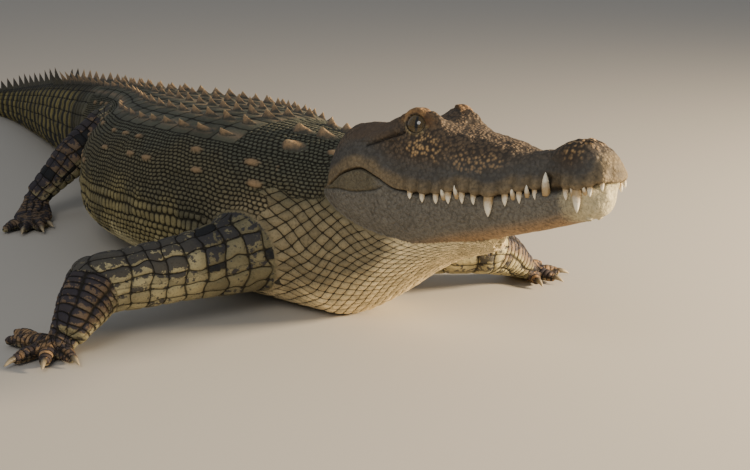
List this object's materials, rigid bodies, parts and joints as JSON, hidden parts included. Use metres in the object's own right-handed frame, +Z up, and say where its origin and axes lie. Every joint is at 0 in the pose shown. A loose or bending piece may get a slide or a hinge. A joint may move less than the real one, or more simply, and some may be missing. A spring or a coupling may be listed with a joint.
{
  "type": "crocodile figure",
  "caption": "Life-size still model of an adult crocodile resting on its belly, head raised, jaws closed with the teeth showing, legs spread and tail laid out behind.",
  "frame": {"origin": "on the floor, on the middle line of the body at the shoulders, on the flat of the belly", "axes": "+Z up, -Y the way that the trunk heads, +X to the animal's left"},
  "size_m": [1.0925, 3.5203, 0.3925],
  "materials": {
    "hide": "scaly hide",
    "jaw": "scaly hide with ivory teeth",
    "claw": "smooth horn",
    "eye": "wet"
  },
  "bodies": {
    "root": {"head_upper": "hide", "lower_jaw": "jaw", "eye_right": "eye", "eye_left": "eye", "neck": "hide", "trunk": "hide", "tail_base": "hide", "tail_middle": "hide", "tail_tip": "hide", "upper_arm_right": "hide", "forearm_right": "hide", "hand_right": "hide", "claw_hand_right_1": "claw", "claw_hand_right_2": "claw", "claw_hand_right_3": "claw", "thigh_right": "hide", "shank_right": "hide", "foot_right": "hide", "claw_foot_right_1": "claw", "claw_foot_right_2": "claw", "claw_foot_right_3": "claw", "upper_arm_left": "hide", "forearm_left": "hide", "hand_left": "hide", "claw_hand_left_1": "claw", "claw_hand_left_2": "claw", "claw_hand_left_3": "claw", "thigh_left": "hide", "shank_left": "hide", "foot_left": "hide", "claw_foot_left_1": "claw", "claw_foot_left_2": "claw", "claw_foot_left_3": "claw"}
  },
  "joints": []
}
